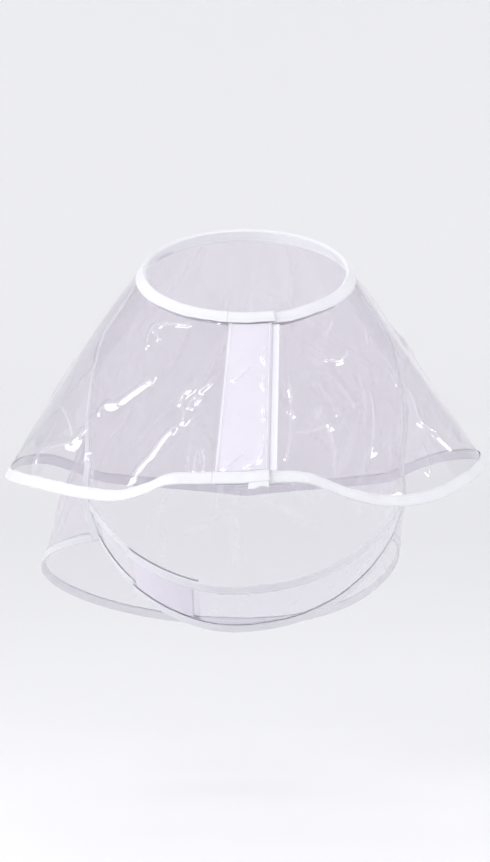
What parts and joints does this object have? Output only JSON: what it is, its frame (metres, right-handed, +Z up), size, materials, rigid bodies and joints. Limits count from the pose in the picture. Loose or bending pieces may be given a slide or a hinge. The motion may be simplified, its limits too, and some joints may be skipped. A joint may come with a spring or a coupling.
{
  "type": "dog rain cape",
  "caption": "Clear plastic rain cape for a dog, with a tape placket down the chest, a bound flared hem, an under coat with bound leg edges and a belly band.",
  "frame": {"origin": "centre of the neck opening", "axes": "+Z up, the chest faces -Y, the back and rear hem run towards +Y, +X is the wearer's left"},
  "size_m": [0.4379, 0.564, 0.4136],
  "materials": {
    "clear_film": "clear glossy soft film with a faint lavender tint",
    "white_tape": "woven folded binding tape",
    "hook_tape": "woven hook tape",
    "loop_tape": "brushed loop tape",
    "thread": "twisted sewing thread"
  },
  "bodies": {
    "coat": {"band_loop_tape": "loop_tape", "band_right_film": "clear_film", "band_right_front_binding": "white_tape", "band_right_front_thread": "thread", "band_right_rear_binding": "white_tape", "band_right_rear_thread": "thread", "cape_film": "clear_film", "cape_hem_binding": "white_tape", "cape_hem_thread": "thread", "coat_film": "clear_film", "coat_hem_binding": "white_tape", "coat_hem_thread": "thread", "coat_left_leg_binding": "white_tape", "coat_left_leg_thread": "thread", "coat_right_leg_binding": "white_tape", "coat_right_leg_thread": "thread", "loop_tape_thread": "thread", "neck_binding": "white_tape", "neck_thread": "thread", "placket_loop_tape": "loop_tape"},
    "front_flap": {"flap_binding_tail": "white_tape", "flap_film": "clear_film", "flap_hem_binding": "white_tape", "flap_hem_thread": "thread", "flap_hook_tape": "hook_tape", "flap_neck_binding": "white_tape", "flap_seam_thread_left": "thread", "flap_seam_thread_right": "thread"},
    "belly_band": {"band_hook_tape": "hook_tape", "band_left_film": "clear_film", "band_left_front_binding": "white_tape", "band_left_front_thread": "thread", "band_left_rear_binding": "white_tape", "band_left_rear_thread": "thread"}
  },
  "joints": [
    {"name": "flap_peel", "type": "hinge", "parent": "coat", "child": "front_flap", "pos_m": [-0.01519, -0.09806, -0.03264], "axis": [-0.0813, -0.5499, -0.8312], "range_deg": [0, 120]},
    {"name": "band_swing", "type": "hinge", "parent": "coat", "child": "belly_band", "pos_m": [0.14227, 0.08699, -0.23728], "axis": [0.1625, -0.6331, 0.7568], "range_deg": [0, 70]}
  ]
}
